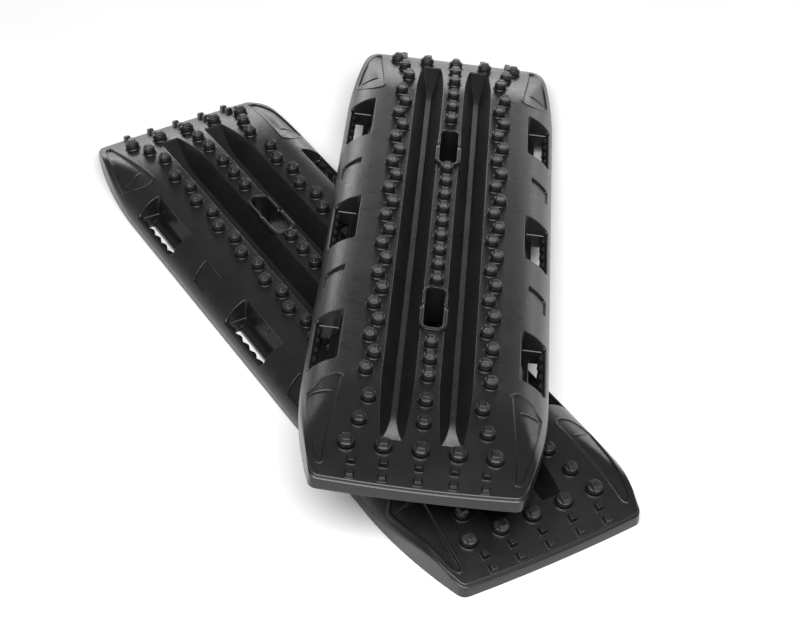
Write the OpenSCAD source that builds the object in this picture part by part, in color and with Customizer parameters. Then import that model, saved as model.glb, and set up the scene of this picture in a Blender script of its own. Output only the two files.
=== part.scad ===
// A pair of vehicle traction boards: two identical ribbed recovery mats with bolt-in studs.
// The lower board lies flat on the ground with its length along Y; the upper board leans
// across it, resting on a row of studs and on one far corner.
// Origin: centre of the lower board's underside, on the ground. +Z up, millimetres.

/* [Board] */
// Overall length of one board
board_l = 1150; // [1140:5:1160]
// Overall width of one board
board_w = 330; // [326:1:334]
// Height of the flat deck above the ground
deck_h = 55; // [54:0.5:56]
// Wall thickness of the moulding
wall_t = 4; // [3.5:0.25:4.5]
// Radius of the flank that rolls from the deck to the rim
flank_r = 67.4; // [67:0.1:68]
// Distance from the middle at which each end starts to curve down
nose_y = 395; // [393:1:397]
// Radius of the curved nose, seen from the side
nose_r = 520; // [515:5:525]
// Distance from the middle at which the sides start to curve in
side_y = 380; // [370:5:390]
// Radius of the incurved sides in plan
side_r = 740; // [730:5:750]
// Radius of the slightly bowed end edge in plan
bow_r = 2250; // [2000:50:2500]

/* [Channels] */
// Distance of each channel's middle from the board's centre line
channel_x = 38.5; // [38:0.5:39]
// Width of a channel at deck level
channel_top_w = 44; // [42:1:45]
// Width of a channel's floor
channel_floor_w = 10; // [9:1:12]
// Height of a channel's floor above the ground
channel_floor_z = 22; // [21:0.5:24]
// Distance from the middle at which the floor starts to rise
ramp_start_y = 430; // [425:1:435]
// Distance from the middle at which the floor meets the deck
ramp_end_y = 507; // [505:1:508]

/* [Handles and pockets] */
// Distance between the middles of neighbouring handles
handle_pitch = 300; // [296:1:304]
// Length of a handle opening
handle_l = 116; // [112:1:118]
// Distance from the centre line to a handle opening's inner wall
handle_in_x = 122; // [121:1:124]
// How much further out that wall stands at its foot
handle_draft = 5; // [4:0.5:6]
// Distance from the centre line to the sill at the bottom of a handle opening
sill_x = 137; // [136:0.5:138]
// Width of the outer grip bar
grip_w = 9; // [8:0.5:10]
// Radius of the finger teeth on the grip bar
tooth_r = 5; // [4:0.5:6]
// Length of a side pocket
pocket_l = 50; // [46:1:54]
// Distance from the centre line to a pocket's inner wall
pocket_in_x = 130; // [129:1:132]
// Height of a pocket's floor above the ground
pocket_floor_z = 28; // [27:0.5:29]
// How much each side of a pocket closes in per millimetre outward
pocket_taper = 0.26; // [0.2:0.01:0.3]

/* [Studs] */
// Distance between neighbouring studs along the board
stud_pitch = 38.4; // [38:0.1:38.6]
// Distance of the outer studs of a land from the centre line
land_out_x = 82.7; // [82:0.1:84]
// Distance of the inner studs of a land from the centre line
land_in_x = 74.2; // [73:0.1:75]
// Distance between neighbouring studs across an end row
end_row_pitch = 47.6; // [47:0.1:48]
// Height of a stud above the deck
stud_h = 14.5; // [14:0.5:15]
// Diameter of the neck a stud's round body stands on
stud_neck_d = 17; // [16:0.5:17.5]
// Height of that neck
stud_neck_h = 2.8; // [2.4:0.2:3.4]
// Diameter of a stud's round body
stud_body_d = 18.8; // [18.6:0.2:19.2]
// Height of the round body's top above the deck
stud_body_h = 10; // [9.5:0.5:10.5]
// Side of a stud's square head at its foot
stud_foot = 13; // [12.4:0.2:13]
// Side of the square head at its top
stud_top = 8.6; // [8:0.2:9]
// Size of an end row stud compared with the others
end_stud_scale = 1.14; // [1.1:0.01:1.16]
// Diameter of a stud's threaded shank
shank_d = 6; // [5:0.5:6]

/* [Slots] */
// Distance of each slot's middle from the board's middle
slot_y = 221; // [219:1:223]
// Length of a slot from end to end
slot_l = 98; // [94:1:100]
// Width of a slot
slot_w = 27; // [26:0.5:28]
// Height of the rim around a slot above the deck
rim_h = 4; // [3:0.5:5]
// Width of the rim around a slot
rim_w = 4.5; // [4:0.25:5]

/* [Resting place of the upper board] */
// How far the upper board is turned about the vertical
upper_turn = -33.4; // [-36:0.1:-31]
// Upper board's middle to the right of the lower board's, along the tilted face
upper_x = 161.9; // [159:0.1:165]
// Upper board's middle ahead of the lower board's
upper_y = -2.7; // [-6:0.1:1]
// Gap left between the upper board and what it rests on
rest_gap = 0.4; // [0.3:0.1:0.6]

/* [Hidden] */
BOARDS = ["lower", "upper"];
ROWS = ["ridge", "left_land", "right_land", "near_end", "far_end"];
$fn = 48;

half_w = board_w / 2;
half_l = board_l / 2;
flank_x = half_w - 60;             // where the flank leaves the flat deck
crease = 1.5;                      // angle at which a curved face leaves a flat one
slope = (channel_top_w - channel_floor_w) / 2 / (deck_h - channel_floor_z);
wall_side = wall_t * sqrt(1 + slope * slope);   // channel wall measured sideways
ramp_end_z = deck_z(ramp_end_y);
clear = 20;                        // how far cutting shapes run past the board
bore_gap = 0.2;                    // radial room around a shank in the deck
nut_gap = 0.1;                     // radial room around a shank in its nut
seat_gap = 0.15;                   // room over a washer where the nose curves
nut_d = 11.5;
nut_h = 5;
washer_d = 14;
washer_h = 1;
rib_t = 4;                         // thickness of a cross rib
rib_h = channel_floor_z;
cleat = 10;                        // side of a square end cleat
cleat_h = 8;
cleat_cols = [-86, -45, 0, 45, 86];
cleat_rows = [543, 563];
notch_w = 3;                       // gap in the slot rim at mid-length
rim_step = 1.5;                    // the near half of a rim is this much wider
tooth_step = 22;
sill_z = 6;                        // height of a handle's sill

// How far an arc's centre lies behind the flat face it leaves, and back along that face
function back(r) = r * cos(crease);
function aside(r) = r * sin(crease);
// Where the two still meet once both are drawn in by "inset"
function join(r, inset) = sqrt(pow(r - inset, 2) - pow(back(r) - inset, 2)) - aside(r);

// Height of the deck's top surface at a distance y along the board
function deck_z(y) = abs(y) <= nose_y ? deck_h
    : deck_h - back(nose_r) + sqrt(nose_r * nose_r - pow(abs(y) - nose_y + aside(nose_r), 2));
// Slope angle of the deck there, so that studs stand square to it
function deck_tilt(y) = abs(y) <= nose_y ? 0
    : sign(y) * asin((abs(y) - nose_y + aside(nose_r)) / nose_r);

// Stud places [x, y, size] of each row
ridge_steps = [for (k = [-4:4]) k, for (s = [-1, 1]) for (k = [8, 9, 10, 11.3, 12.35]) s * k];
outer_steps = [for (k = [-10:2:10]) k, -12.5, 12.5];
inner_steps = [for (k = [-9:2:9]) k, -11.42, 11.42];
function ridge_places() = [for (k = ridge_steps) [0, k * stud_pitch, 1]];
function land_places(side) = concat(
    [for (k = outer_steps) [side * land_out_x, k * stud_pitch, 1]],
    [for (k = inner_steps) [side * land_in_x, k * stud_pitch, 1]]);
function end_places(side) = [for (i = [-2:2])
    [i * end_row_pitch, side * 13.5 * stud_pitch, end_stud_scale]];
function places(row) = row == "ridge" ? ridge_places()
    : row == "left_land" ? land_places(-1)
    : row == "right_land" ? land_places(1)
    : row == "near_end" ? end_places(-1)
    : end_places(1);

// How the upper board leans: it turns about the line of stud tops it rests on,
// until its far right corner comes down to the ground
rest_x = land_out_x + stud_top / 2;
rest_z = deck_h + stud_h + rest_gap;
corner_x = half_w - back(side_r)
    + sqrt(side_r * side_r - pow(half_l - side_y + aside(side_r), 2));
corner_reach = corner_x * cos(upper_turn) - half_l * sin(upper_turn) + upper_x - rest_x;
upper_lean = asin((rest_z - rest_gap) / corner_reach);

module place(board) {
    if (board == "lower")
        children();
    else
        translate([rest_x, 0, rest_z])
            rotate([0, upper_lean, 0])
                translate([upper_x - rest_x, upper_y, 0])
                    rotate([0, 0, upper_turn])
                        children();
}

// Sets a child square on the deck at x, y
module on_deck(x, y) {
    translate([x, y, deck_z(y)])
        rotate([-deck_tilt(y), 0, 0])
            children();
}

module mirror_both() {
    children();
    mirror([1, 0, 0]) children();
}

// --- the moulding's envelope, drawn in from the outside by "inset" ---

module plan_2d(inset) {
    w = half_w - inset;
    straight = side_y + join(side_r, inset);
    intersection() {
        union() {
            square([2 * w, 2 * straight], center = true);
            for (s = [-1, 1])
                intersection() {
                    translate([-half_w, s > 0 ? straight : -half_l - clear])
                        square([board_w, half_l + clear - straight]);
                    translate([half_w - back(side_r), s * (side_y - aside(side_r))])
                        circle(r = side_r - inset, $fn = 180);
                    translate([back(side_r) - half_w, s * (side_y - aside(side_r))])
                        circle(r = side_r - inset, $fn = 180);
                }
        }
        intersection_for (s = [-1, 1])
            translate([0, s * (half_l - bow_r)])
                circle(r = bow_r - inset, $fn = 360);
    }
}

// A flat top that bends down in an arc at both ends, seen from the side
module crowned_2d(flat, r, inset, reach) {
    edge = flat + join(r, inset);
    translate([-edge, -clear])
        square([2 * edge, deck_h - inset + clear]);
    for (s = [-1, 1])
        intersection() {
            translate([s * (flat - aside(r)), deck_h - back(r)])
                circle(r = r - inset, $fn = 180);
            translate([s > 0 ? edge : -reach - clear, -clear])
                square([reach + clear - edge, deck_h + clear]);
        }
}

module along_y() {
    rotate([90, 0, 0])
        linear_extrude(2 * half_l + 2 * clear, center = true)
            children();
}

module along_x() {
    rotate([90, 0, 90])
        linear_extrude(2 * half_w + 2 * clear, center = true)
            children();
}

module envelope(inset, low) {
    intersection() {
        translate([0, 0, low])
            linear_extrude(deck_h + clear)
                plan_2d(inset);
        along_y() crowned_2d(flank_x, flank_r, inset, half_w);
        along_x() crowned_2d(nose_y, nose_r, inset, half_l);
    }
}

// --- channels: "grow" turns the hollow into the cup around it ---

module channel_shape(grow) {
    rise = clear;
    side = grow > 0 ? wall_side : 0;
    floor_half = channel_floor_w / 2 + side - grow * slope;
    top_half = channel_top_w / 2 + side + rise * slope;
    floor_z = channel_floor_z - grow;
    ramp = (ramp_end_z - channel_floor_z) / (ramp_end_y - ramp_start_y);
    intersection() {
        translate([channel_x, 0, 0])
            along_y()
                polygon([[-floor_half, floor_z], [floor_half, floor_z],
                    [top_half, deck_h + rise], [-top_half, deck_h + rise]]);
        along_x()
            polygon([
                [-ramp_start_y, floor_z], [ramp_start_y, floor_z],
                [half_l, floor_z + ramp * (half_l - ramp_start_y)], [half_l, deck_h + rise],
                [-half_l, deck_h + rise], [-half_l, floor_z + ramp * (half_l - ramp_start_y)]
            ]);
    }
}

// --- handles, pockets and slots: solid surrounds, and the hollows cut from them ---

// Draws a cross-section in x and z out along y from the origin
module along_section(length) {
    translate([0, length, 0])
        rotate([90, 0, 0])
            linear_extrude(length)
                children();
}

module handle_surround(y) {
    translate([0, y - handle_l / 2 - wall_t, 0])
        along_section(handle_l + 2 * wall_t)
            polygon([
                [handle_in_x + handle_draft - wall_t, 0], [half_w + wall_t, 0],
                [half_w + wall_t, deck_h], [handle_in_x - wall_t, deck_h]
            ]);
}

// The inner wall leans out to a sill, below which only the finger gap runs through
module handle_hollow(y) {
    out = half_w - grip_w;
    difference() {
        translate([0, y - handle_l / 2, 0])
            along_section(handle_l)
                polygon([
                    [handle_in_x, deck_h + clear], [handle_in_x, deck_h],
                    [handle_in_x + handle_draft, 2 * sill_z], [sill_x, sill_z], [sill_x, -clear],
                    [out, -clear], [out, deck_h + clear]
                ]);
        for (i = [-2:2])
            translate([out, y + i * tooth_step, -2 * clear])
                cylinder(r = tooth_r, h = deck_h + 4 * clear, $fn = 24);
    }
}

module pocket_2d(grow) {
    reach = half_w + clear;
    inner = pocket_l / 2 + grow * (1 + pocket_taper);
    outer = inner - pocket_taper * (reach - pocket_in_x + grow);
    polygon([[pocket_in_x - grow, -inner], [reach, -outer],
        [reach, outer], [pocket_in_x - grow, inner]]);
}

module pocket_surround(y) {
    translate([0, y, pocket_floor_z - wall_t])
        linear_extrude(deck_h)
            pocket_2d(wall_t);
}

module pocket_hollow(y) {
    translate([0, y, pocket_floor_z])
        linear_extrude(deck_h)
            pocket_2d(0);
}

module slot_2d(grow) {
    r = slot_w / 2;
    for (s = [-1, 1])
        translate([0, s * (slot_l / 2 - r)])
            circle(r = r + grow);
    square([2 * (r + grow), slot_l - slot_w], center = true);
}

module slot_surround(y) {
    translate([0, y, 0])
        linear_extrude(deck_h)
            slot_2d(wall_t - 1);
}

module slot_rim(y) {
    translate([0, y, deck_h - 2 * rim_h])
        linear_extrude(3 * rim_h)
            difference() {
                for (s = [-1, 1])
                    intersection() {
                        slot_2d(s < 0 ? rim_w + rim_step : rim_w);
                        translate([-slot_w, s > 0 ? notch_w / 2 : -slot_l])
                            square([2 * slot_w, slot_l - notch_w / 2]);
                    }
                slot_2d(0);
            }
}

module slot_hollow(y) {
    translate([0, y, -clear])
        linear_extrude(deck_h + 2 * clear)
            slot_2d(0);
}

module cross_rib(y, reach) {
    translate([-reach, y - rib_t / 2, 0])
        cube([2 * reach, rib_t, rib_h]);
}

module end_cleats() {
    for (s = [-1, 1])
        for (y = cleat_rows)
            for (x = cleat_cols)
                on_deck(x, s * y)
                    translate([-cleat / 2, -cleat / 2, -wall_t / 2])
                        cube([cleat, cleat, wall_t / 2 + cleat_h]);
}

// Everything that backs the skin from inside, before it is trimmed to the envelope
module inner_work() {
    mirror_both() {
        channel_shape(wall_t);
        for (i = [-1:1])
            handle_surround(i * handle_pitch);
        for (s = [-1, 1])
            pocket_surround(s * handle_pitch / 2);
    }
    for (s = [-1, 1])
        slot_surround(s * slot_y);
    for (i = [-1:1])
        cross_rib(i * handle_pitch, handle_in_x - wall_t / 2);
    for (i = [-1.5, -0.5, 0.5, 1.5])
        cross_rib(i * handle_pitch, half_w - wall_t / 2);
}

module hollows() {
    mirror_both() {
        channel_shape(0);
        for (i = [-1:1])
            handle_hollow(i * handle_pitch);
        for (s = [-1, 1])
            pocket_hollow(s * handle_pitch / 2);
    }
    for (s = [-1, 1])
        slot_hollow(s * slot_y);
    for (row = ROWS)
        for (p = places(row))
            on_deck(p[0], p[1])
                translate([0, 0, -clear])
                    cylinder(d = shank_d + 2 * bore_gap, h = 2 * clear, $fn = 16);
}

module deck() {
    color("#1b1b1d") {
        difference() {
            union() {
                difference() {
                    envelope(0, 0);
                    envelope(wall_t, -clear);
                }
                intersection() {
                    envelope(0, 0);
                    inner_work();
                }
            }
            hollows();
        }
        for (s = [-1, 1])
            slot_rim(s * slot_y);
        end_cleats();
    }
}

module stud(size) {
    cylinder(d = stud_neck_d * size, h = stud_neck_h, $fn = 32);
    translate([0, 0, stud_neck_h])
        cylinder(d = stud_body_d * size, h = stud_body_h - stud_neck_h, $fn = 32);
    translate([0, 0, stud_body_h])
        rotate(45)
            cylinder(d1 = stud_foot * sqrt(2) * size, d2 = stud_top * sqrt(2) * size,
                h = stud_h - stud_body_h, $fn = 4);
    translate([0, 0, -wall_t - washer_h - nut_h - 1])
        cylinder(d = shank_d, h = wall_t + washer_h + nut_h + 1, $fn = 16);
}

module stud_row(row) {
    color("#121213")
        for (p = places(row))
            on_deck(p[0], p[1])
                stud(p[2]);
}

module nut() {
    difference() {
        union() {
            cylinder(d = nut_d, h = nut_h, $fn = 6);
            translate([0, 0, nut_h])
                cylinder(d = washer_d, h = washer_h, $fn = 24);
        }
        translate([0, 0, -1])
            cylinder(d = shank_d + 2 * nut_gap, h = nut_h + washer_h + 2, $fn = 16);
    }
}

module nut_row(row) {
    color("#77797d")
        for (p = places(row))
            on_deck(p[0], p[1])
                translate([0, 0, -wall_t - seat_gap - washer_h - nut_h])
                    nut();
}

for (b = BOARDS) {
    place(b) deck();
    for (r = ROWS) {
        place(b) stud_row(r);
        place(b) nut_row(r);
    }
}
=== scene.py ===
"""A pair of black moulded traction boards, one leaning across the other.

Each board is modelled once, in millimetres in its own frame (X across, Y along, Z up from the
ground), and placed twice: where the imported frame's lower and upper boards are.
"""

import math

import bpy
import numpy as np
from mathutils import Matrix, Vector
from mathutils.geometry import delaunay_2d_cdt
from mathutils.kdtree import KDTree


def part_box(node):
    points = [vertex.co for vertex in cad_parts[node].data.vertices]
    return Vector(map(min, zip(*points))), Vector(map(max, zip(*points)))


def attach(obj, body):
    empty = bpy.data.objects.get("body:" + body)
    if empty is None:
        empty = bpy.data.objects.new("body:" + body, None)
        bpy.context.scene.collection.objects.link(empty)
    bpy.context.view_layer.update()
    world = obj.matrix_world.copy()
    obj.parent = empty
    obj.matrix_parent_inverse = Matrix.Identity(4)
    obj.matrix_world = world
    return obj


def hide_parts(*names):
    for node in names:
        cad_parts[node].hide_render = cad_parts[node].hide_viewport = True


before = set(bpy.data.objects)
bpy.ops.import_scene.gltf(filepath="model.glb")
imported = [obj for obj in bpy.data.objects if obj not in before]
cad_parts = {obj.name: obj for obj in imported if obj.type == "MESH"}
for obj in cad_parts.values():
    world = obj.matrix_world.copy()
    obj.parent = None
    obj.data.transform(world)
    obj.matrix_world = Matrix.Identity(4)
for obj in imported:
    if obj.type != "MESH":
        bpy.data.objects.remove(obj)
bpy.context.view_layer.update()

MM = 0.001
BOARDS = ("lower", "upper")
ROWS = ("ridge", "left_land", "right_land", "near_end", "far_end")

# ---------------------------------------------------------------- sizes, in millimetres
lower_low, lower_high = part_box("lower_deck")
HALF_W = (lower_high.x - lower_low.x) / 2 / MM
HALF_L = (lower_high.y - lower_low.y) / 2 / MM
RIM_H = 4.0  # the slots' rims stand this far above the deck
DECK_H = lower_high.z / MM - RIM_H
SKIN = 4.0  # wall thickness

CREASE = math.radians(1.5)
FLANK_X, FLANK_R = HALF_W - 60.0, 67.4
NOSE_Y, NOSE_R = 395.0, 520.0
SIDE_Y, SIDE_R = 380.0, 740.0
BOW_R = 2250.0
CORNER_R = 10.0

CHANNEL_X, CHANNEL_FLOOR_Z = 38.5, 22.0
CHANNEL_FLOOR_HALF, CHANNEL_SLOPE = 5.0, 17.0 / 33.0
RAMP_START, RAMP_END, RAMP_STEP = 428.0, 504.0, 1.4

STUD_PITCH, END_PITCH = 38.4, 47.6
LAND_OUT_X, LAND_IN_X = 82.7, 74.2
END_ROW_Y = 13.5 * STUD_PITCH
END_STUD_SCALE = 1.14

HANDLE_PITCH, HANDLE_HALF = 300.0, 58.0
HANDLE_IN_X, GRIP_W = 122.0, 9.0
TOOTH_DEPTH, TOOTH_STEP = 4.8, 22.0
WALL_LIMIT_X = HALF_W - GRIP_W - 10.0  # only what lies further in belongs to the inner wall
LEDGE_Z = 20.0
POCKET_Y, POCKET_IN_X, POCKET_HALF = 150.0, 130.0, 25.0
POCKET_OUT_X, POCKET_OUT_HALF, POCKET_FLOOR_Z = 157.0, 18.0, 28.0
SLOT_Y, SLOT_HALF_L, SLOT_HALF_W = 221.0, 49.0, 13.5
CLEAT_COLUMNS, CLEAT_ROWS = (-86.0, -45.0, 0.0, 45.0, 86.0), (543.0, 562.5)
CLEAT_HALF, CLEAT_H = 5.0, 8.0
RIB_HALF, RIB_TOP = 2.0, CHANNEL_FLOOR_Z - 1.5  # cross ribs under the deck
SEAT_SIDES, END_SEAT_SCALE = 28, 1.115
HEAD_BLUNTING = 0.82  # how much of its corners a stud's head or a nut keeps
NUT_DROP = 6.2  # a nut's foot below the skin


# ---------------------------------------------------------------- the deck as a height field
def crown(t, flat, r):
    """Height of a flat top that bends down in an arc beyond a distance "flat" from the middle."""
    t = np.abs(t)
    run = np.maximum(t - flat, 0) + r * math.sin(CREASE)
    arc = DECK_H - r * math.cos(CREASE) + np.sqrt(np.maximum(r * r - run * run, 0))
    return np.where(t <= flat, DECK_H, arc)


def deck_z(x, y):
    """The deck's top surface: flanks and noses blend where they meet."""
    drop_x = DECK_H - crown(x, FLANK_X, FLANK_R)
    drop_y = DECK_H - crown(y, NOSE_Y, NOSE_R)
    return DECK_H - (drop_x**4 + drop_y**4) ** 0.25


def deck_normal(x, y, step=0.4):
    slope_x = (deck_z(x + step, y) - deck_z(x - step, y)) / (2 * step)
    slope_y = (deck_z(x, y + step) - deck_z(x, y - step)) / (2 * step)
    n = np.stack([-slope_x, -slope_y, np.ones_like(slope_x)], axis=-1)
    return n / np.linalg.norm(n, axis=-1, keepdims=True)


def half_width(y):
    run = np.maximum(np.abs(y) - SIDE_Y, 0) + SIDE_R * math.sin(CREASE)
    arc = HALF_W - SIDE_R * math.cos(CREASE) + np.sqrt(SIDE_R**2 - run * run)
    return np.where(np.abs(y) <= SIDE_Y, HALF_W, arc)


def end_y(x):
    return HALF_L - BOW_R + np.sqrt(BOW_R**2 - np.asarray(x, float) ** 2)


def smoothstep(t, low=0.0, high=1.0):
    t = np.clip((t - low) / (high - low), 0, 1)
    return t * t * (3 - 2 * t)


# ---------------------------------------------------------------- outlines, counter-clockwise
def quarter_outline():
    """The board's outline from (HALF_W, 0) round to (0, HALF_L)."""
    corner = np.array([float(half_width(HALF_L - 4)), float(end_y(134))])
    side_y = np.concatenate([np.arange(0, SIDE_Y, 10), np.arange(SIDE_Y, corner[1] - CORNER_R, 8)])
    side = [(float(half_width(y)), float(y)) for y in side_y]
    side_end = np.array([float(half_width(corner[1] - CORNER_R)), corner[1] - CORNER_R])
    end_start = np.array([corner[0] - CORNER_R, float(end_y(corner[0] - CORNER_R))])
    bend = []
    for t in np.linspace(0, 1, 9):
        bend.append(tuple((1 - t) ** 2 * side_end + 2 * t * (1 - t) * corner + t * t * end_start))
    end = [(float(x), float(end_y(x))) for x in np.linspace(end_start[0], 0, 20)[1:]]
    return side + bend + end


def board_outline():
    quarter = np.array(quarter_outline())
    right = quarter[:-1]
    left = quarter[::-1][:-1] * (-1, 1)
    return np.concatenate([right, left, -right, -left])


def inward(outline, distance):
    """The outline moved inward along its own normals; a negative distance moves it outward."""
    ahead, behind = np.roll(outline, -1, 0), np.roll(outline, 1, 0)
    out, back = ahead - outline, outline - behind
    out /= np.linalg.norm(out, axis=1, keepdims=True)
    back /= np.linalg.norm(back, axis=1, keepdims=True)
    mean = out + back
    mean /= np.linalg.norm(mean, axis=1, keepdims=True)
    miter = 1 / np.maximum((mean * out).sum(1), 0.5)
    left = np.stack([-mean[:, 1], mean[:, 0]], axis=1)
    return outline + left * (np.asarray(distance) * miter)[:, None]


def rounded_polygon(corners, radius, step=3.0):
    """A polygon with rounded corners, sampled along its sides as well."""
    corners = np.array(corners, float)
    points = []
    for i, c in enumerate(corners):
        to_last, to_next = corners[i - 1] - c, corners[(i + 1) % len(corners)] - c
        a = c + to_last / np.linalg.norm(to_last) * radius
        b = c + to_next / np.linalg.norm(to_next) * radius
        for t in np.linspace(0, 1, 6):
            points.append((1 - t) ** 2 * a + 2 * t * (1 - t) * c + t * t * b)
        after = corners[(i + 1) % len(corners)]
        stop = after - to_next / np.linalg.norm(to_next) * radius
        count = int(np.linalg.norm(stop - b) / step)
        points += [b + (stop - b) * k / (count + 1) for k in range(1, count + 1)]
    return np.array(points)


def circle(x, y, radius, count):
    a = np.linspace(0, 2 * math.pi, count, endpoint=False)
    return np.stack([x + radius * np.cos(a), y + radius * np.sin(a)], axis=1)


def stadium(y, grow=0.0, square=0.0):
    """A slot's outline, seen from above; its near end is squarer than its far end."""
    points = []
    r, reach = SLOT_HALF_W + grow, SLOT_HALF_L - SLOT_HALF_W
    for k in range(17):
        a = math.pi * k / 16
        points.append((r * math.cos(a), y + reach + r * math.sin(a)))
    straight = np.concatenate(
        [np.linspace(reach, 3, 7)[1:], [1.8, 1.2, 0, -1.2, -1.8], -np.linspace(3, reach, 7)[:-1]])
    points += [(-r, y + t) for t in straight]
    for k in range(17):
        a = math.pi + math.pi * k / 16
        c, s = math.cos(a), math.sin(a)
        power = 2 / (2 + 1.4 * square)
        points.append(
            (r * math.copysign(abs(c) ** power, c), y - reach + r * math.copysign(abs(s) ** power, s)))
    points += [(r, y + t) for t in -straight]
    return np.array(points)


def handle_outline(side, y, toothed=0.0):
    """A handle opening, with the scalloped edge of its finger teeth on the outer wall."""
    low, high = HANDLE_IN_X, HALF_W - GRIP_W
    box = rounded_polygon(
        [(low, y - HANDLE_HALF), (high, y - HANDLE_HALF), (high, y + HANDLE_HALF), (low, y + HANDLE_HALF)],
        5.0, step=1.6)
    along = box[:, 1] - y
    wave = 0.5 + 0.5 * np.cos(2 * math.pi * along / TOOTH_STEP)
    on_teeth = (box[:, 0] > high - 0.1) & (np.abs(along) < 2.5 * TOOTH_STEP)
    box[:, 0] -= np.where(on_teeth, toothed * TOOTH_DEPTH * wave, 0)
    return mirrored(box, side)


def mirrored(outline, side):
    """The outline on the left or right of the board, kept counter-clockwise."""
    return outline if side > 0 else (outline * (-1, 1))[::-1]


def pocket_outline(side, y):
    return mirrored(rounded_polygon(
        [(POCKET_IN_X, y - POCKET_HALF), (POCKET_OUT_X, y - POCKET_OUT_HALF),
         (POCKET_OUT_X, y + POCKET_OUT_HALF), (POCKET_IN_X, y + POCKET_HALF)], 3.0, step=2.5), side)


def pad_outline(side, end):
    """The leaf-shaped corner pad: straight inner edge, arched inner end, outer edge along the rim."""
    outer_y = np.linspace(418, 542, 24)
    outer = [(float(half_width(y)) - 9.5, y) for y in outer_y]
    tip = [(130.0, 546.5), (127.5, 548.5), (125.1, 548.6), (123.4, 546.8)]
    inner = [(112.6 + 10.1 * smoothstep((y - 397) / 147) ** 0.8, y) for y in np.linspace(542, 404, 25)]
    arch = []
    for t in np.linspace(0, 1, 12)[1:-1]:
        a, c, b = np.array([112.6, 404.0]), np.array([133.0, 384.0]), np.array(outer[0])
        first = np.array([113.2, 394.0])
        arch.append((1 - t) ** 3 * a + 3 * t * (1 - t) ** 2 * first + 3 * t * t * (1 - t) * c + t**3 * b)
    leaf = np.array([*outer, *tip, *inner, *arch], float)
    leaf = leaf if end > 0 else (leaf * (1, -1))[::-1]
    return mirrored(leaf, side)


# ---------------------------------------------------------------- places of the studs
def row_places(row):
    """[(x, y, size)] of the studs of one row."""
    if row == "ridge":
        steps = list(range(-4, 5)) + [s * k for s in (-1, 1) for k in (8, 9, 10, 11.3, 12.35)]
        return [(0.0, k * STUD_PITCH, 1.0) for k in steps]
    if row in ("left_land", "right_land"):
        side = 1 if row == "right_land" else -1
        outer = list(range(-10, 11, 2)) + [-12.5, 12.5]
        inner = list(range(-9, 10, 2)) + [-11.42, 11.42]
        return ([(side * LAND_OUT_X, k * STUD_PITCH, 1.0) for k in outer]
                + [(side * LAND_IN_X, k * STUD_PITCH, 1.0) for k in inner])
    end = 1 if row == "far_end" else -1
    return [(k * END_PITCH, end * END_ROW_Y, END_STUD_SCALE) for k in range(-2, 3)]


def standing(x, y):
    """Sets a small part square on the deck at x, y."""
    normal = Vector(deck_normal(np.array(float(x)), np.array(float(y))))
    turn = Vector((0, 0, 1)).rotation_difference(normal).to_matrix().to_4x4()
    return Matrix.Translation((x, y, float(deck_z(x, y)))) @ turn


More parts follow.
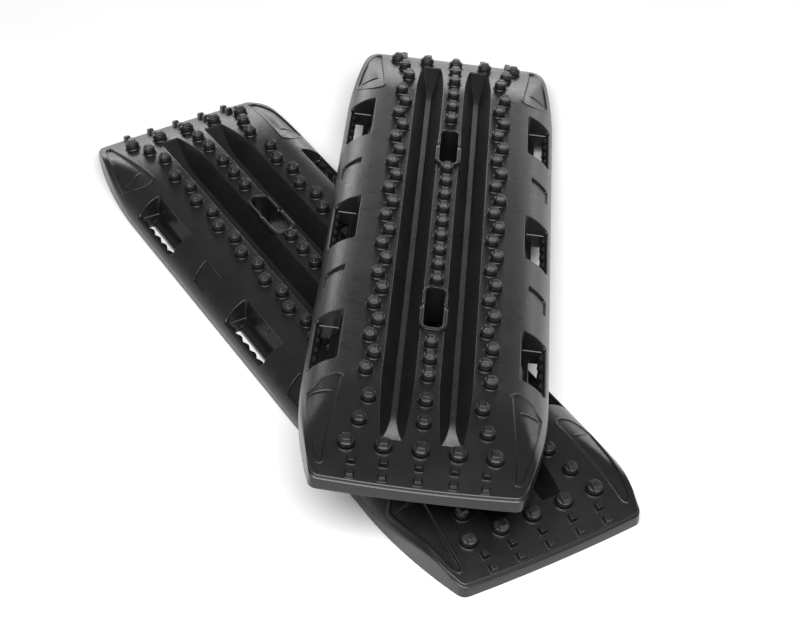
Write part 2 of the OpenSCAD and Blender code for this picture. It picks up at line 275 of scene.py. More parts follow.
# ---------------------------------------------------------------- mesh building
class Shell:
    """Points and faces of one moulding. Rings run counter-clockwise seen from above."""

    def __init__(self):
        self.points, self.faces, self.exact = [], [], {}

    def ring(self, outline, z, on_deck=False):
        z = np.broadcast_to(z, len(outline))
        first = len(self.points)
        self.points += [(float(p[0]), float(p[1]), float(h)) for p, h in zip(outline, z)]
        ids = list(range(first, first + len(outline)))
        if on_deck:
            for i, n in zip(ids, deck_normal(outline[:, 0], outline[:, 1])):
                self.exact[i] = n
        return ids

    def bridge(self, outer, inner):
        """Quads between two rings; "outer" is the outer or lower one."""
        n = len(outer)
        for i in range(n):
            j = (i + 1) % n
            self.faces.append((outer[i], outer[j], inner[j], inner[i]))

    def walls(self, rings, flip=False):
        for a, b in zip(rings, rings[1:]):
            self.bridge(b, a) if flip else self.bridge(a, b)

    def cap(self, ring, flip=False):
        self.faces.append(tuple(reversed(ring)) if flip else tuple(ring))

    def patch(self, outer, holes, inside, height, flip=False, exact=False):
        """Triangles between an outer ring and the rings of the holes in it, with the points
        "inside" added at the heights that height(x, y) gives."""
        rings = [outer, *holes]
        edge_ids = [i for ring in rings for i in ring]
        edge = np.array([self.points[i][:2] for i in edge_ids])
        near = KDTree(len(edge))
        for i, p in enumerate(edge):
            near.insert((p[0], p[1], 0), i)
        near.balance()
        keep = within(inside, edge[: len(outer)])
        start = len(outer)
        for hole in holes:
            keep &= ~within(inside, edge[start : start + len(hole)])
            start += len(hole)
        extra = [p for p, k in zip(inside, keep) if k and near.find((p[0], p[1], 0))[2] > 2.5]
        extra = np.array(extra).reshape(-1, 2)
        extra_ids = self.ring(extra, height(extra[:, 0], extra[:, 1]), on_deck=exact) if len(extra) else []
        ids = edge_ids + extra_ids
        flat = np.concatenate([edge, extra])
        constraints, start = [], 0
        for ring in rings:
            n = len(ring)
            constraints += [(start + i, start + (i + 1) % n) for i in range(n)]
            start += n
        verts, _, tris, sources, _, _ = delaunay_2d_cdt(
            [Vector(p) for p in flat], constraints, [], 0, 1e-5, True)
        place = [ids[s[0]] if s else None for s in sources]
        tris = [t for t in tris if all(place[i] is not None for i in t)]
        centres = np.array([[sum(verts[i][k] for i in t) / 3 for k in (0, 1)] for t in tris])
        keep = within(centres, edge[: len(outer)])
        start = len(outer)
        for hole in holes:
            keep &= ~within(centres, edge[start : start + len(hole)])
            start += len(hole)
        for t, k in zip(tris, keep):
            if k:
                a, b, c = (place[i] for i in t)
                (ax, ay, _), (bx, by, _), (cx, cy, _) = (self.points[i] for i in (a, b, c))
                anticlockwise = (bx - ax) * (cy - ay) - (by - ay) * (cx - ax) > 0
                self.faces.append((a, b, c) if anticlockwise != flip else (a, c, b))

    def mesh(self, name, smooth=True):
        """A mesh in metres. Normals follow the deck where they are known, and elsewhere the
        larger faces lead, so that narrow roundings don't shade the flats beside them."""
        points = np.array(self.points)
        data = bpy.data.meshes.new(name)
        data.from_pydata((points * MM).tolist(), [], self.faces)
        data.polygons.foreach_set("use_smooth", [smooth] * len(data.polygons))
        data.update()
        total = np.zeros_like(points)
        for face in self.faces:
            p = points[list(face)]
            area = np.cross(p[1:-1] - p[0], p[2:] - p[0]).sum(0)
            for i in face:
                total[i] += area
        for i, n in self.exact.items():
            total[i] = n
        length = np.linalg.norm(total, axis=1, keepdims=True)
        normals = np.divide(total, length, out=np.tile([0.0, 0.0, 1.0], (len(total), 1)), where=length > 1e-9)
        data.normals_split_custom_set_from_vertices(normals.tolist())
        return data


def within(points, outline):
    """Which points lie inside an outline."""
    points = np.asarray(points, float).reshape(-1, 2)
    inside = np.zeros(len(points), bool)
    low, high = outline.min(0), outline.max(0)
    near = np.all((points >= low) & (points <= high), axis=1)
    x, y = points[near, 0], points[near, 1]
    hit = np.zeros(len(x), bool)
    for (ax, ay), (bx, by) in zip(outline, np.roll(outline, -1, 0)):
        if ay != by:
            crosses = (ay > y) != (by > y)
            hit ^= crosses & (x < (bx - ax) * (y - ay) / (by - ay) + ax)
    inside[near] = hit
    return inside


# ---------------------------------------------------------------- the board's features
# Roundings: how far outside the final edge each ring lies, and how far it is below the deck
EDGE_ROUNDING = ((1.6, 0.0), (0.9, 0.12), (0.35, 0.45), (0.05, 1.1), (0.0, 2.2))
# The board's own edge: (inset, drop) along the sides, and along the ends with their lip and groove
SIDE_EDGE = ((2.4, 0.0), (1.3, 0.25), (0.5, 0.8), (0.12, 1.7), (0.0, 2.6), (0.0, 3.4), (0.0, 4.4))
END_EDGE = ((4.3, 0.0), (3.3, 0.22), (2.5, 0.9), (2.1, 2.0), (2.6, 3.1), (0.7, 3.5), (0.0, 4.3))


def outer_edge(shell):
    """The rim all round the board, down to the ground. Returns the ring on the deck."""
    outline = board_outline()
    endness = smoothstep(np.abs(outline[:, 1]), 535, 566)
    rings = []
    for (side_in, side_drop), (end_in, end_drop) in zip(SIDE_EDGE, END_EDGE):
        path = inward(outline, side_in + (end_in - side_in) * endness)
        drop = side_drop + (end_drop - side_drop) * endness
        z = deck_z(path[:, 0], path[:, 1]) - drop
        rings.append(shell.ring(path, z, on_deck=not rings))
    rings.append(shell.ring(outline, 0.9))
    rings.append(shell.ring(inward(outline, 0.7), 0.0))
    rings.append(shell.ring(inward(outline, SKIN - 0.6), 0.0))
    under = inward(outline, SKIN)
    rings.append(shell.ring(under, 0.7))
    rings.append(shell.ring(under, np.minimum(deck_z(under[:, 0], under[:, 1]) - SKIN, 40)))
    shell.walls(rings, flip=True)
    return rings[0], rings[-1]


# The grip's shoulder: how far outside the opening each ring lies there, and how far below the deck
SHOULDER = ((5.5, 0.0), (3.8, 0.5), (2.1, 1.9), (0.8, 4.4), (0.0, 8.0))
# Down the wall of an opening: how much narrower it is, where its inner wall is, the height, and how far
# the teeth are out. The inner wall leans out to a sill; below it only the finger gap runs through.
HANDLE_WALL = (
    (0.7, 124.8, LEDGE_Z + 1.2, 0.2), (0.95, 125.1, LEDGE_Z + 0.4, 0.6),
    (1.7, 125.6, LEDGE_Z, 0.85), (2.0, 126.2, LEDGE_Z - 0.8, 0.95),
    (2.0, 128.4, 12.8, 1.0), (2.0, 133.0, 9.2, 1.0), (2.0, 135.6, 7.8, 1.0),
    (2.0, 136.6, 6.9, 1.0), (2.0, 137.1, 5.8, 1.0), (2.0, 137.2, 0.8, 1.0), (1.5, 136.6, 0.0, 0.95),
)


def wall_moved(outline, side, inner_x):
    """A handle's outline with its inner wall moved out to inner_x; its outer wall stays."""
    x = np.abs(outline[:, 0])
    start = x.min()
    squeezed = inner_x + (x - start) * (WALL_LIMIT_X - inner_x) / (WALL_LIMIT_X - start)
    return np.stack([side * np.where(x < WALL_LIMIT_X, squeezed, x), outline[:, 1]], axis=1)


def handle(shell, side, y):
    """An opening right through the board, with a rounded grip, a ledge and a toothed outer wall."""
    outline = handle_outline(side, y)
    gripness = smoothstep(np.abs(outline[:, 0]), 150.0, HALF_W - GRIP_W)
    inset = []
    for (out, drop), (grip_out, grip_drop) in zip(EDGE_ROUNDING, SHOULDER):
        path = inward(outline, -(out + (grip_out - out) * gripness))
        z = deck_z(path[:, 0], path[:, 1]) - drop - (grip_drop - drop) * gripness
        inset.append(shell.ring(path, z, on_deck=not inset))
    for narrowed, inner_x, z, toothed in HANDLE_WALL:
        path = inward(handle_outline(side, y, toothed), narrowed)
        inset.append(shell.ring(wall_moved(path, side, inner_x), z))
    surround = rounded_polygon(
        [(HANDLE_IN_X - SKIN, y - HANDLE_HALF - SKIN), (HALF_W - SKIN - 0.6, y - HANDLE_HALF - SKIN),
         (HALF_W - SKIN - 0.6, y + HANDLE_HALF + SKIN), (HANDLE_IN_X - SKIN, y + HANDLE_HALF + SKIN)],
        3.0, step=4.0)
    surround = matched(mirrored(surround, side), outline)
    inset.append(shell.ring(surround, 0.0))
    inset.append(shell.ring(surround, deck_z(surround[:, 0], surround[:, 1]) - SKIN))
    shell.walls(inset)
    return inset[0], inset[-1]


def matched(outline, like):
    """The outline resampled so that its points pair up with those of another around its middle."""
    middle = (like.max(0) + like.min(0)) / 2
    step = np.roll(outline, -1, 0) - outline
    dense = np.concatenate([outline + step * t for t in np.linspace(0, 1, 8, endpoint=False)])
    half = (like.max(0) - like.min(0)) / 2
    angle = np.arctan2(*(((dense - middle) / half).T[::-1]))
    order = np.argsort(angle)
    want = np.unwrap(np.arctan2(*(((like - middle) / half).T[::-1])))
    want = np.maximum.accumulate(want)
    want = want + np.linspace(0, 1e-4, len(want))
    around = np.concatenate(
        [angle[order] - 2 * math.pi, angle[order], angle[order] + 2 * math.pi, angle[order] + 4 * math.pi])
    xs, ys = (np.tile(dense[order, k], 4) for k in (0, 1))
    return np.stack([np.interp(want, around, xs), np.interp(want, around, ys)], axis=1)


def pocket(shell, side, y):
    """A blind recess whose level floor runs out through the flank."""
    outline = pocket_outline(side, y)
    rings = []
    for out, drop in EDGE_ROUNDING:
        path = inward(outline, -out * 0.8)
        surface = deck_z(path[:, 0], path[:, 1])
        z = surface - np.minimum(drop, np.maximum(surface - POCKET_FLOOR_Z, 0) * 0.4)
        rings.append(shell.ring(path, z, on_deck=not rings))
    surface = deck_z(outline[:, 0], outline[:, 1])
    for inset, above in ((0.5, 1.6), (1.0, 0.4), (2.0, 0.0)):
        z = np.minimum(POCKET_FLOOR_Z + above, surface - 0.3)
        rings.append(shell.ring(inward(outline, inset), z))
    shell.walls(rings)
    shell.cap(rings[-1])
    return rings[0]


def slot(shell, y):
    """The opening of a slot, from the deck to the ground."""
    outline = stadium(y, square=1.0)
    rings = [shell.ring(inward(outline, -0.9), deck_z(*inward(outline, -0.9).T), on_deck=True)]
    rings.append(shell.ring(outline, DECK_H))
    rings.append(shell.ring(outline, 40.0))
    rings.append(shell.ring(outline, 0.8))
    rings.append(shell.ring(inward(outline, -0.7), 0.0))
    rings.append(shell.ring(inward(outline, -2.6), 0.0))
    rings.append(shell.ring(inward(outline, -2.6), DECK_H - SKIN - 4))
    shell.walls(rings[:-1])
    shell.bridge(rings[-2], rings[-1])
    hole = shell.ring(inward(outline, -0.2), DECK_H - SKIN)
    shell.bridge(rings[-1], hole)
    return rings[0], hole


def slot_rim(shell, y):
    """The raised rim, wider round the near half, with a small notch and ears at mid-length."""
    outline = stadium(y, square=1.0)
    along = outline[:, 1] - y
    near = 1.5 * (1 - smoothstep(along, -1.2, 1.2))
    notch = np.exp(-((along / 1.7) ** 4))
    ears = 0.9 * np.exp(-(((np.abs(along) - 4.5) / 2.2) ** 2))
    width = 4.5 + near + ears - 2.6 * notch
    top = DECK_H + RIM_H - 3.2 * notch
    shape = (
        (0.0, -7.9), (0.02, -1.2), (0.12, -0.45), (0.3, -0.1), (0.5, 0.0),
        (0.7, -0.1), (0.88, -0.45), (0.98, -1.2), (1.0, -7.9))
    rings = [
        shell.ring(inward(outline, 0.35 - (width + 0.35) * across), top + down)
        for across, down in shape]
    shell.walls(rings, flip=True)


def channel(shell, side):
    """A channel with sloping walls and a floor that ramps up to the deck at both ends.
    Returns the loop of its points on the deck."""
    flare = RAMP_END - (RAMP_END - RAMP_START) * (1 - np.linspace(0, 1, 15)) ** 1.2
    half = np.concatenate([
        np.arange(0, RAMP_START - 6, 14), flare[:-1],
        [RAMP_END - 1.1, RAMP_END - 0.4, RAMP_END + 0.2, RAMP_END + 1.0]])
    stations = np.concatenate([-half[:0:-1], half])
    ramp_top = float(deck_z(CHANNEL_X, RAMP_END)) - RAMP_STEP
    grid = []
    for y in stations:
        surface = float(deck_z(CHANNEL_X, y))
        climb = min(max((abs(y) - RAMP_START) / (RAMP_END - RAMP_START), 0), 1)
        floor = CHANNEL_FLOOR_Z + (ramp_top - CHANNEL_FLOOR_Z) * climb**1.6
        floor += (surface - floor) * float(smoothstep(abs(y), RAMP_END - 1.2, RAMP_END + 0.9))
        depth = surface - floor
        tight = min(1.0, depth / 5)
        wide = CHANNEL_FLOOR_HALF + CHANNEL_SLOPE * (surface - CHANNEL_FLOOR_Z)
        slim = CHANNEL_FLOOR_HALF + CHANNEL_SLOPE * (floor - CHANNEL_FLOOR_Z)
        profile = [
            (wide + 1.2, surface),
            (wide + 0.5, surface - 0.1 * tight),
            (wide - 0.1, surface - 0.5 * tight),
            (wide - 0.5 - 0.3 * tight, surface - 1.4 * tight),
            (slim - 0.6 + 0.9 * tight, floor + 1.3 * tight),
            (slim - 0.9, floor + 0.25 * tight),
            (slim - 2.2, floor),
        ]
        line = [(-u, z) for u, z in profile] + [(u, z) for u, z in reversed(profile)]
        xs = side * CHANNEL_X + np.array([u for u, _ in line])
        path = np.stack([xs, np.full(len(xs), y)], axis=1)
        grid.append(shell.ring(path, np.array([z for _, z in line])))
    last, wide = len(grid) - 1, len(grid[0]) - 1
    for a, b in zip(grid, grid[1:]):
        for j in range(wide):
            shell.faces.append((a[j], a[j + 1], b[j + 1], b[j]))
    loop = ([grid[0][j] for j in range(wide)] + [grid[i][wide] for i in range(last)]
            + [grid[last][j] for j in range(wide, 0, -1)] + [grid[i][0] for i in range(last, 0, -1)])
    for i in loop:
        x, y, _ = shell.points[i]
        shell.exact[i] = deck_normal(np.array(x), np.array(y))
    return loop


def channel_cup(shell, side):
    """The channel's back, seen from below. Returns its loop on the skin's underside."""
    half = np.concatenate([np.arange(0, RAMP_START, 30), np.linspace(RAMP_START, RAMP_END + 6, 8)])
    stations = np.concatenate([-half[:0:-1], half])
    ramp_top = float(deck_z(CHANNEL_X, RAMP_END))
    grid = []
    for y in stations:
        skin = float(deck_z(CHANNEL_X, y)) - SKIN
        climb = min(max((abs(y) - RAMP_START) / (RAMP_END - RAMP_START), 0), 1)
        floor = min(CHANNEL_FLOOR_Z + (ramp_top - CHANNEL_FLOOR_Z) * climb**1.6 - SKIN, skin - 0.3)
        side_wall = SKIN * math.sqrt(1 + CHANNEL_SLOPE**2)
        wide = CHANNEL_FLOOR_HALF + side_wall + CHANNEL_SLOPE * (skin - CHANNEL_FLOOR_Z)
        slim = CHANNEL_FLOOR_HALF + side_wall + CHANNEL_SLOPE * (floor - CHANNEL_FLOOR_Z)
        line = [
            (-wide, skin), (-slim - 0.4, floor + 0.8), (-slim + 0.8, floor),
            (slim - 0.8, floor), (slim + 0.4, floor + 0.8), (wide, skin)]
        if floor > skin - 1:
            line = [(u, skin if abs(u) > slim else floor) for u, _ in line]
        xs = side * CHANNEL_X + np.array([u for u, _ in line])
        grid.append(shell.ring(np.stack([xs, np.full(len(xs), y)], axis=1), np.array([z for _, z in line])))
    last, wide = len(grid) - 1, len(grid[0]) - 1
    for a, b in zip(grid, grid[1:]):
        for j in range(wide):
            shell.faces.append((a[j], b[j], b[j + 1], a[j + 1]))
    return ([grid[0][j] for j in range(wide)] + [grid[i][wide] for i in range(last)]
            + [grid[last][j] for j in range(wide, 0, -1)] + [grid[i][0] for i in range(last, 0, -1)])


# (radius, height) over a stud's seat, from outside in: a lip that slopes gently inward, then a groove
SEAT_RINGS = (
    (12.3, 0.0), (11.95, 0.3), (11.7, 0.95), (11.4, 1.3), (11.0, 1.35), (10.2, 1.12), (9.8, 0.85), (9.6, 0.2),
    (9.5, -1.0), (8.9, -1.6), (7.5, -1.7),
)


def stud_seat(shell, x, y, size):
    """The raised ring with a groove inside it that a stud is seated in."""
    scale = 1.0 if size == 1 else END_SEAT_SCALE
    tilt = standing(x, y)
    rings = []
    for radius, up in SEAT_RINGS:
        path = circle(0, 0, radius * scale, SEAT_SIDES)
        points = [tilt @ Vector((px, py, up)) for px, py in path]
        flat = np.array([(p.x, p.y) for p in points])
        z = deck_z(flat[:, 0], flat[:, 1]) if not rings else np.array([p.z for p in points])
        rings.append(shell.ring(flat, z, on_deck=not rings))
    shell.walls(rings)
    shell.cap(rings[-1])
    return rings[0]


def cleat(shell, x, y):
    """A small square block at the board's end."""
    tilt = standing(x, y)
    rings = []
    for grow, up in (
        (1.2, 0.0), (0.6, 0.15), (0.2, 0.8),
        (-0.75, CLEAT_H - 0.8), (-0.95, CLEAT_H - 0.25), (-1.5, CLEAT_H),
    ):
        h = CLEAT_HALF + grow
        outline = rounded_polygon([(-h, -h), (h, -h), (h, h), (-h, h)], 1.1, step=20)
        points = [tilt @ Vector((px, py, up)) for px, py in outline]
        flat = np.array([(p.x, p.y) for p in points])
        z = deck_z(flat[:, 0], flat[:, 1]) if not rings else np.array([p.z for p in points])
        rings.append(shell.ring(flat, z, on_deck=not rings))
    shell.walls(rings)
    shell.cap(rings[-1])
    return rings[0]


PAD_DEPTH = 2.4
PAD_EDGE = (
    (4.4, 0.0), (3.7, 0.5), (2.8, 0.9), (1.0, 0.9), (0.2, 0.35), (-0.4, -0.7), (-0.9, -1.4), (-1.6, -1.8),
)


def pad_crease(x):
    return 430.0 - 8.0 * (x - 122) / 31


def pad_depth(x, y):
    """Depth of a corner pad: its inner end slopes in as far as a slanting crease."""
    x, y = np.abs(x), np.abs(y)
    crease = pad_crease(x)
    into = np.clip((y - 399) / (crease - 399), 0, 1)
    ridge = 1.5 * np.exp(-(((y - crease) / 1.5) ** 2)) * smoothstep(x, 121, 126)
    bead = 0.8 * np.exp(-(((x - 120) / 6) ** 2)) * smoothstep(y, 413, 450)
    return PAD_DEPTH * (0.25 + 0.75 * into) - ridge + bead


def corner_pad(shell, side, end):
    outline = pad_outline(side, end)
    inner_end = 1 - smoothstep(np.abs(outline[:, 1]), 440, 535)
    along_inner = smoothstep(-np.abs(outline[:, 0]), -132, -122)
    raised = np.maximum(along_inner, inner_end)
    rings = []
    for out, up in PAD_EDGE:
        path = inward(outline, -out)
        surface = deck_z(path[:, 0], path[:, 1])
        if up > 0:
            z = surface + up * (0.25 + 0.75 * raised)
        elif up < 0:
            z = surface + up / 1.8 * pad_depth(path[:, 0], path[:, 1])
        else:
            z = surface
        rings.append(shell.ring(path, z, on_deck=not rings))
    shell.walls(rings)
    columns = np.arange(112, 162, 3.5)
    spots = [
        (side * x, end * y)
        for x in columns for y in np.arange(397, 549, 4.0) if abs(y - pad_crease(x)) > 5]
    spots += [
        (side * x, end * (pad_crease(x) + off))
        for x in columns for off in (-4.0, -2.4, -1.2, 0.0, 1.2, 2.4, 4.0)]
    spots = np.array(spots)
    shell.patch(rings[-1], [], spots, lambda x, y: deck_z(x, y) - pad_depth(x, y))
    return rings[0]


def cross_rib(shell, y, reach, top):
    """A plate across the underside, with an eased lower edge."""
    low, high = y - RIB_HALF, y + RIB_HALF
    outline = np.array([(-reach, low), (reach, low), (reach, high), (-reach, high)], float)
    rings = [shell.ring(inward(outline, 0.5), 0.0), shell.ring(outline, 0.5), shell.ring(outline, top)]
    shell.walls(rings)
    shell.cap(rings[0], flip=True)
    shell.cap(rings[-1])


def grid_points():
    """Points that carry the curve of the deck between its features."""
    flank = [FLANK_X + FLANK_R * math.sin(math.radians(a)) for a in np.arange(1, 62, 4.2)]
    columns = np.concatenate([np.arange(0, FLANK_X, 13), flank])
    columns = np.unique(np.concatenate([-columns, columns]))
    return np.array([(x, y) for x in columns for y in np.arange(-570, 571, 9.5)])


def board_moulding():
    """The whole moulding, as one mesh."""
    shell = Shell()
    deck_edge, under_edge = outer_edge(shell)
    holes, under_holes = [], []
    for side in (-1, 1):
        holes.append(channel(shell, side))
        under_holes.append(channel_cup(shell, side))
        for k in (-1, 0, 1):
            above, below = handle(shell, side, k * HANDLE_PITCH)
            holes.append(above)
            under_holes.append(below)
        for end in (-1, 1):
            holes.append(pocket(shell, side, end * POCKET_Y))
            holes.append(corner_pad(shell, side, end))
    for end in (-1, 1):
        above, below = slot(shell, end * SLOT_Y)
        slot_rim(shell, end * SLOT_Y)
        holes.append(above)
        under_holes.append(below)
        for y in CLEAT_ROWS:
            holes += [cleat(shell, x, end * y) for x in CLEAT_COLUMNS]
    for row in ROWS:
        holes += [stud_seat(shell, *place) for place in row_places(row)]
    shell.patch(deck_edge, holes, grid_points(), deck_z, exact=True)
    shell.patch(under_edge, under_holes, grid_points()[::2], lambda x, y: deck_z(x, y) - SKIN, flip=True)
    for k in (-1, 0, 1):
        cross_rib(shell, k * HANDLE_PITCH, HANDLE_IN_X - SKIN / 2, RIB_TOP)
    for k in (-1.5, -0.5, 0.5, 1.5):
        reach = float(half_width(k * HANDLE_PITCH)) - SKIN / 2 - 1
        cross_rib(shell, k * HANDLE_PITCH, reach, RIB_TOP)
    return shell.mesh("board_moulding")


# ---------------------------------------------------------------- studs and nuts
ALONG_SIDE = (-1.0, -0.88, -0.66, -0.34, 0.0, 0.34, 0.66, 0.88)  # ring points from corner to corner


def sided(sides, radius, squareness):
    """A ring that goes from a circle (0) to a polygon with rounded corners and a flat facing +Y (1)."""
    half_turn = math.pi / sides
    blunt = 1 + HEAD_BLUNTING * (1 / math.cos(half_turn) - 1)
    points = []
    for side in range(sides):
        for t in ALONG_SIDE:
            angle = math.pi / 2 + (2 * side + t) * half_turn
            polygon = min(1 / math.cos(t * half_turn), blunt)
            r = radius * (1 + squareness * (polygon - 1))
            points.append((r * math.cos(angle), r * math.sin(angle)))
    return np.array(points)


# (radius, height, squareness) from the neck over the round body to the top of the square head
STUD_RINGS = (
    (8.3, -1.4, 0.0), (8.5, 0.2, 0.0), (8.5, 2.2, 0.0), (8.75, 2.6, 0.0), (9.15, 2.85, 0.0), (9.4, 3.4, 0.0),
    (9.4, 4.2, 0.0), (9.3, 8.6, 0.0), (9.1, 9.4, 0.0), (8.65, 9.9, 0.0),
    (7.9, 10.1, 0.15), (6.95, 10.2, 0.85), (6.55, 10.5, 1.0), (6.3, 10.95, 1.0),
    (4.75, 13.6, 1.0), (4.45, 14.2, 1.0), (3.95, 14.47, 1.0), (3.2, 14.5, 1.0),
)
SHANK_RINGS = ((3.0, -11.0), (3.0, -1.6))
NUT_RINGS = (
    (4.6, 0.0, 0.0), (4.95, 0.5, 1.0), (4.95, 4.4, 1.0),
    (6.2, 4.9, 0.0), (6.9, 5.15, 0.0), (7.0, 5.5, 0.0), (7.0, 6.0, 0.0),
)


def stack(shell, at, rings, sides, size=1.0):
    """Stacks rings on top of each other in the place "at"."""
    loops = []
    for radius, up, squareness in rings:
        outline = sided(sides, radius * size, squareness)
        points = [at @ Vector((px, py, up)) for px, py in outline]
        loops.append(shell.ring(np.array([(p.x, p.y) for p in points]), np.array([p.z for p in points])))
    shell.walls(loops)
    shell.cap(loops[-1])
    return loops


def stud_row(row):
    shell = Shell()
    for x, y, size in row_places(row):
        at = standing(x, y)
        stack(shell, at, STUD_RINGS, 4, size)
        shank = stack(shell, at, [(r, z, 0.0) for r, z in SHANK_RINGS], 4)
        shell.cap(shank[0], flip=True)
    return shell.mesh("studs_" + row)


def nut_row(row):
    shell = Shell()
    for x, y, _ in row_places(row):
        at = standing(x, y) @ Matrix.Translation((0, 0, -SKIN - NUT_DROP))
        loops = stack(shell, at, NUT_RINGS, 6)
        shell.cap(loops[0], flip=True)
    return shell.mesh("nuts_" + row)


# ---------------------------------------------------------------- materials
def node(tree, kind, links=(), **values):
    """A shader node with its inputs set by name, and its inputs linked from other outputs."""
    made = tree.nodes.new(kind)
    for key, value in values.items():
        name = key.replace("_", " ")
        if name in made.inputs:
            made.inputs[name].default_value = value
        else:
            setattr(made, key, value)
    for name, output in links:
        tree.links.new(output, made.inputs[name])
    return made


def ramp(tree, fac, *stops):
    made = tree.nodes.new("ShaderNodeValToRGB")
    while len(made.color_ramp.elements) < len(stops):
        made.color_ramp.elements.new(0.5)
    for element, (position, colour) in zip(made.color_ramp.elements, stops):
        element.position = position
        element.color = (*colour, 1) if isinstance(colour, tuple) else (colour, colour, colour, 1)
    tree.links.new(fac, made.inputs["Fac"])
    return made.outputs["Color"]


def noise(tree, coords, scale, detail=3.0, roughness=0.55):
    made = node(
        tree, "ShaderNodeTexNoise", [("Vector", coords)], Scale=scale, Detail=detail, Roughness=roughness)
    return made.outputs["Fac"]


def mix(tree, fac, a, b, blend="MIX"):
    made = tree.nodes.new("ShaderNodeMix")
    made.data_type, made.blend_type = "RGBA", blend
    for socket, value in ((0, fac), (6, a), (7, b)):
        if isinstance(value, bpy.types.NodeSocket):
            tree.links.new(value, made.inputs[socket])
        else:
            made.inputs[socket].default_value = value if socket == 0 else (*value, 1)
    return made.outputs[2]


def new_material(name):
    material = bpy.data.materials.new(name)
    material.use_nodes = True
    tree = material.node_tree
    tree.nodes.clear()
    shader = tree.nodes.new("ShaderNodeBsdfPrincipled")
    output = tree.nodes.new("ShaderNodeOutputMaterial")
    tree.links.new(shader.outputs["BSDF"], output.inputs["Surface"])
    coords = tree.nodes.new("ShaderNodeTexCoord").outputs["Object"]
    return material, tree, shader, coords


def moulded_plastic():
    """Black nylon as it leaves the mould: fine grain, uneven gloss, faint scuffs."""
    material, tree, shader, coords = new_material("moulded_black_plastic")
    cloud = noise(tree, coords, 14, 4)
    flow = noise(tree, coords, 55, 5, 0.65)
    grain = noise(tree, coords, 1500, 2)
    stretched = node(tree, "ShaderNodeMapping", [("Vector", coords)], Scale=(900, 40, 900)).outputs["Vector"]
    scuff = ramp(tree, noise(tree, stretched, 1, 2), (0.68, 0.0), (0.80, 1.0))
    patch = ramp(tree, noise(tree, coords, 9, 2), (0.5, 0.0), (0.72, 1.0))
    scuffs = mix(tree, 1.0, scuff, patch, "MULTIPLY")
    mottle = ramp(tree, cloud, (0.35, 0.0), (0.7, 1.0))
    base = mix(tree, mottle, (0.006, 0.006, 0.0063), (0.0098, 0.0096, 0.0101))
    base = mix(tree, mix(tree, 0.75, scuffs, (0, 0, 0)), base, (0.03, 0.03, 0.031))
    tree.links.new(base, shader.inputs["Base Color"])
    broad_gloss = ramp(tree, cloud, (0.3, 0.26), (0.75, 0.34))
    gloss = mix(tree, 0.45, broad_gloss, ramp(tree, flow, (0.3, 0.23), (0.7, 0.36)))
    gloss = mix(tree, mix(tree, 0.6, scuffs, (0, 0, 0)), gloss, (0.6, 0.6, 0.6))
    tree.links.new(gloss, shader.inputs["Roughness"])
    shader.inputs["IOR"].default_value = 1.5
    fine = node(tree, "ShaderNodeBump", [("Height", grain)], Strength=0.22, Distance=0.00035)
    waves = node(
        tree, "ShaderNodeBump", [("Height", flow), ("Normal", fine.outputs["Normal"])],
        Strength=0.16, Distance=0.0012)
    tree.links.new(waves.outputs["Normal"], shader.inputs["Normal"])
    return material


def coated_stud():
    """Black coated studs: a little glossier, with rubbed tops."""
    material, tree, shader, coords = new_material("black_stud_coating")
    cloud = noise(tree, coords, 120, 4)
    grain = noise(tree, coords, 1100, 2)
    wear = ramp(tree, noise(tree, coords, 420, 3), (0.62, 0.0), (0.74, 1.0))
    mottle = ramp(tree, cloud, (0.35, 0.0), (0.7, 1.0))
    base = mix(tree, mottle, (0.008, 0.008, 0.0085), (0.014, 0.014, 0.0146))
    base = mix(tree, mix(tree, 0.7, wear, (0, 0, 0)), base, (0.055, 0.055, 0.058))
    tree.links.new(base, shader.inputs["Base Color"])
    tree.links.new(ramp(tree, cloud, (0.3, 0.32), (0.75, 0.46)), shader.inputs["Roughness"])
    shader.inputs["IOR"].default_value = 1.52
    bump = node(tree, "ShaderNodeBump", [("Height", grain)], Strength=0.2, Distance=0.0003)
    tree.links.new(bump.outputs["Normal"], shader.inputs["Normal"])
    return material


def zinc():
    """Zinc-plated nuts: bright, with a patchy crystalline film."""
    material, tree, shader, coords = new_material("zinc_plate")
    film = noise(tree, coords, 260, 4)
    cells = node(tree, "ShaderNodeTexVoronoi", [("Vector", coords)], Scale=700).outputs["Color"]
    base = mix(tree, ramp(tree, film, (0.3, 0.0), (0.7, 1.0)), (0.42, 0.43, 0.44), (0.58, 0.58, 0.57))
    tree.links.new(mix(tree, 0.12, base, cells), shader.inputs["Base Color"])
    tree.links.new(ramp(tree, film, (0.3, 0.28), (0.7, 0.46)), shader.inputs["Roughness"])
    shader.inputs["Metallic"].default_value = 1.0
    bump = node(tree, "ShaderNodeBump", [("Height", film)], Strength=0.15, Distance=0.0002)
    tree.links.new(bump.outputs["Normal"], shader.inputs["Normal"])
    return material


def pale_floor():
    material, tree, shader, coords = new_material("studio_floor")
    tint = ramp(tree, noise(tree, coords, 3, 3), (0.3, 0.90), (0.7, 0.93))
    tree.links.new(tint, shader.inputs["Base Color"])
    gloss = ramp(tree, noise(tree, coords, 40, 3), (0.3, 0.75), (0.7, 0.85))
    tree.links.new(gloss, shader.inputs["Roughness"])
    return material


# ---------------------------------------------------------------- placing the pieces
def rows_frame(board):
    """The board's own axes, found from the middles of its rows of studs."""
    def middle(row):
        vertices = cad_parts[f"{board}_{row}_studs"].data.vertices
        return sum((v.co for v in vertices), Vector()) / len(vertices)

    along = (middle("far_end") - middle("near_end")).normalized()
    across = middle("right_land") - middle("left_land")
    up = across.cross(along).normalized()
    across = along.cross(up)
    axes = Matrix((across, along, up)).transposed().to_4x4()
    axes.translation = (middle("left_land") + middle("right_land")) / 2
    return axes


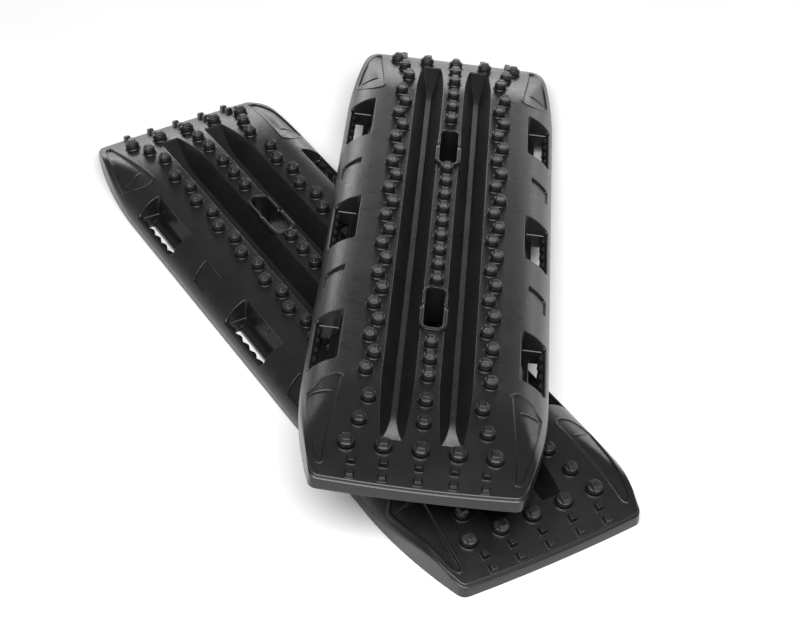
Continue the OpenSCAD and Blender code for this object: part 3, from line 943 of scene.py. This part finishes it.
def place(name, mesh, material, where, body, replaced, slot_name):
    piece = bpy.data.objects.new(name, mesh)
    bpy.context.scene.collection.objects.link(piece)
    if not mesh.materials:
        mesh.materials.append(material)
    piece.matrix_world = where
    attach(piece, body)
    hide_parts(*replaced)
    return piece


plastic, coating, plate = moulded_plastic(), coated_stud(), zinc()
moulding = board_moulding()
stud_meshes = {row: stud_row(row) for row in ROWS}
nut_meshes = {row: nut_row(row) for row in ROWS}
home = rows_frame("lower").inverted()
for board in BOARDS:
    where = rows_frame(board) @ home
    body = board + "_board"
    place(board + "_moulding", moulding, plastic, where, body, [board + "_deck"], "deck_plastic")
    for row in ROWS:
        place(
            f"{board}_{row}_stud_set", stud_meshes[row], coating, where, body,
            [f"{board}_{row}_studs"], "stud_black")
        place(
            f"{board}_{row}_nut_set", nut_meshes[row], plate, where, body,
            [f"{board}_{row}_nuts"], "nut_steel")

# ---------------------------------------------------------------- stage, light and camera
FLOOR_HALF = 14  # metres
floor_corners = [(x * FLOOR_HALF, y * FLOOR_HALF, 0) for x, y in ((-1, -1), (1, -1), (1, 1), (-1, 1))]
floor_mesh = bpy.data.meshes.new("floor")
floor_mesh.from_pydata(floor_corners, [], [(0, 1, 2, 3)])
floor_mesh.materials.append(pale_floor())
floor = bpy.data.objects.new("floor", floor_mesh)
bpy.context.scene.collection.objects.link(floor)
floor.location.z = -0.0005


def soft_light(name, toward, distance, size, power, target=Vector((0.15, 0.0, 0.05))):
    """A large rectangular light in a direction (azimuth, elevation) from the target."""
    azimuth, elevation = (math.radians(a) for a in toward)
    level = math.cos(elevation)
    direction = Vector((level * math.cos(azimuth), level * math.sin(azimuth), math.sin(elevation)))
    data = bpy.data.lights.new(name, "AREA")
    data.shape, data.size, data.size_y, data.energy = "RECTANGLE", size[0], size[1], power
    lamp = bpy.data.objects.new(name, data)
    bpy.context.scene.collection.objects.link(lamp)
    lamp.location = target + direction * distance
    lamp.rotation_euler = (-direction).to_track_quat("-Z", "Y").to_euler()


soft_light("overhead", (241, 54), 3.6, (4.2, 2.4), 235)
soft_light("back", (66, 9), 4.0, (4.0, 0.8), 40)
soft_light("back_right", (22, 8), 4.0, (2.4, 0.8), 12)

world = bpy.data.worlds.new("studio")
bpy.context.scene.world = world
world.use_nodes = True
world.node_tree.nodes["Background"].inputs["Color"].default_value = (1, 1, 1, 1)
world.node_tree.nodes["Background"].inputs["Strength"].default_value = 0.22

CAMERA_PLACE = Vector((-1.1400, -2.2523, 2.0109))
CAMERA_FORWARD = Vector((0.37659, 0.68548, -0.62314)).normalized()
CAMERA_UP = Vector((0.31972, 0.53515, 0.78191))
FOCAL_WIDTHS = 2.7687  # focal length in picture widths
SENSOR_W = 36.0

camera_data = bpy.data.cameras.new("camera")
camera_data.sensor_width = SENSOR_W
camera_data.lens = SENSOR_W * FOCAL_WIDTHS
camera_data.clip_end = 50
camera = bpy.data.objects.new("camera", camera_data)
bpy.context.scene.collection.objects.link(camera)
right = CAMERA_FORWARD.cross(CAMERA_UP).normalized()
view_axes = Matrix((right, right.cross(CAMERA_FORWARD), -CAMERA_FORWARD)).transposed().to_4x4()
camera.matrix_world = Matrix.Translation(CAMERA_PLACE) @ view_axes
bpy.context.scene.camera = camera
bpy.context.scene.view_settings.view_transform = "Standard"
